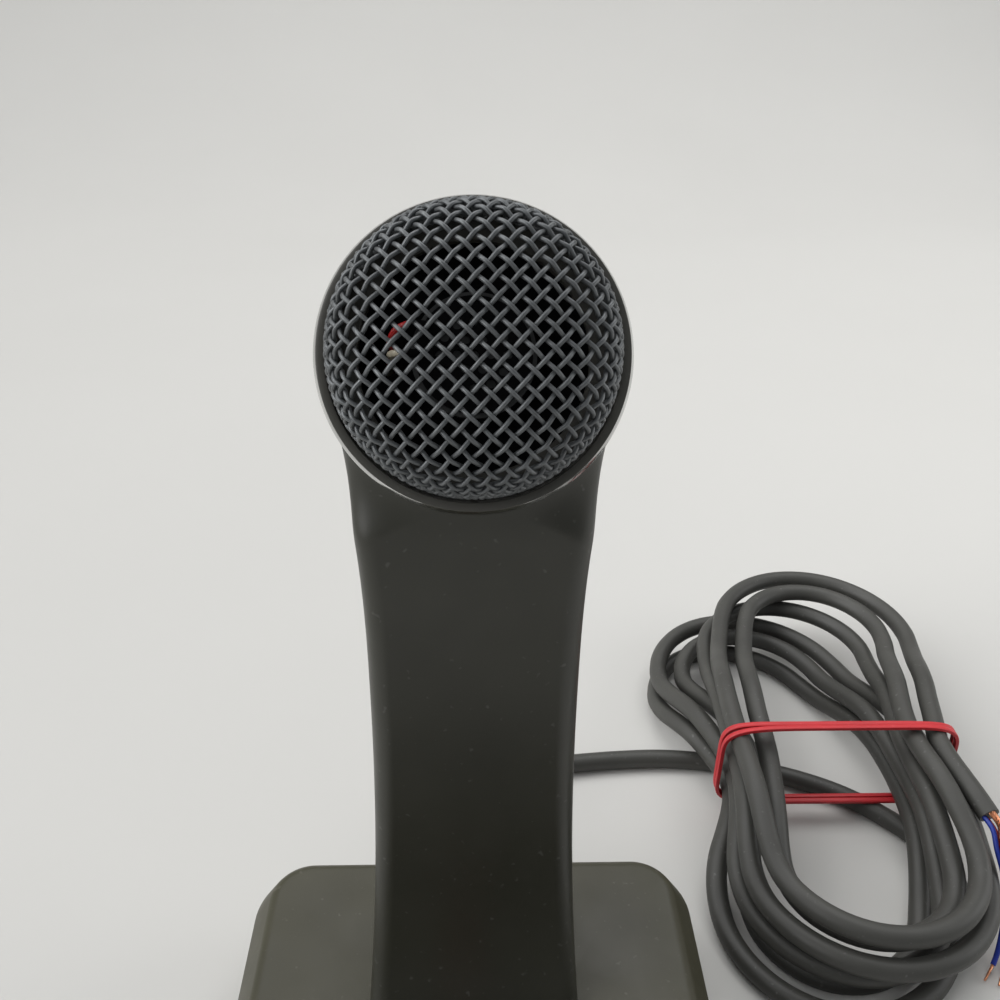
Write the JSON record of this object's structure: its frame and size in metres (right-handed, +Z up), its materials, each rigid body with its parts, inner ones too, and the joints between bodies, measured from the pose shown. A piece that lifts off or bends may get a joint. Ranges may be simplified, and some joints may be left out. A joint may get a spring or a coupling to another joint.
{
  "type": "paging microphone",
  "caption": "Desk paging microphone: woven-wire head tilted up on a waisted column, bevelled plinth with a sprung talk bar and lock slide, cable tied in a hank with bare ends.",
  "frame": {"origin": "on the table under the middle of the base, the base being measured without its cable", "axes": "+Z up, +Y to the back of the base where the cable leaves, +X to the user's right as they face the head"},
  "size_m": [0.2146, 0.2841, 0.2082],
  "materials": {
    "cover_plastic": "fine satin moulding texture",
    "column_plastic": "fine satin moulding texture",
    "ring_plastic": "smooth semi-gloss",
    "grille_wire": "dull plated woven wire",
    "bar_plastic": "satin",
    "black_plastic": "matt",
    "foot_rubber": "matt",
    "steel": "zinc plated",
    "plunger_plastic": "smooth",
    "capsule_metal": "satin",
    "board_laminate": "lacquered",
    "terminal_plastic": "smooth",
    "white_nylon": "smooth",
    "red_wire": "smooth",
    "blue_wire": "smooth",
    "white_wire": "smooth",
    "copper": "bright copper braid",
    "cable_jacket": "satin",
    "relief_rubber": "matt",
    "band_rubber": "matt",
    "lock_plastic": "satin"
  },
  "bodies": {
    "body": {"base_cover": "cover_plastic", "base_plate": "steel", "rubber_feet": "foot_rubber", "bottom_screws": "steel", "column_front": "column_plastic", "column_rear": "column_plastic", "column_foot": "black_plastic", "column_screws": "steel", "rear_screws": "steel", "head_ring": "ring_plastic", "head_grille": "grille_wire", "capsule_holder": "black_plastic", "shock_ring": "foot_rubber", "mic_capsule": "capsule_metal", "capsule_screen": "black_plastic", "capsule_wire_red": "red_wire", "capsule_wire_white": "white_wire", "hinge_pin": "steel", "talk_spring_left": "steel", "talk_spring_right": "steel", "switch_board": "board_laminate", "board_spacers": "white_nylon", "board_screws": "steel", "talk_switch": "black_plastic", "terminal_strip": "terminal_plastic", "lock_switch": "black_plastic", "lock_switch_screws": "steel", "cable_tail": "cable_jacket", "cable_clamp": "black_plastic", "clamp_screws": "steel", "inner_core_red": "red_wire", "inner_core_blue": "blue_wire", "inner_core_white": "white_wire", "strain_relief": "relief_rubber", "cord_lead": "cable_jacket", "cord_hank": "cable_jacket", "cord_end": "cable_jacket", "bare_core_red": "red_wire", "bare_core_blue": "blue_wire", "bare_core_white": "white_wire", "bare_braid": "copper", "rubber_band": "band_rubber"},
    "talk_bar": {"talk_bar": "bar_plastic"},
    "switch_plunger": {"switch_plunger": "plunger_plastic"},
    "lock_knob": {"lock_knob": "lock_plastic"}
  },
  "joints": [
    {"name": "talk_bar_press", "type": "hinge", "parent": "body", "child": "talk_bar", "pos_m": [0, -0.02387, 0.02286], "axis": [1, 0, 0], "range_deg": [0, 4.5], "stiffness_Nm_per_rad": 0.6, "springref_deg": -5.73, "deforming": ["talk_spring_left", "talk_spring_right"]},
    {"name": "plunger_press", "type": "slide", "parent": "body", "child": "switch_plunger", "axis": [0, 0, -1], "range_m": [0, 0.001]},
    {"name": "lock_slide", "type": "slide", "parent": "body", "child": "lock_knob", "axis": [1, 0, 0], "range_m": [0, 0.006]}
  ],
  "couplings": [
    {"joint": "plunger_press", "follows": "talk_bar_press", "m_per_rad": 0.012}
  ]
}
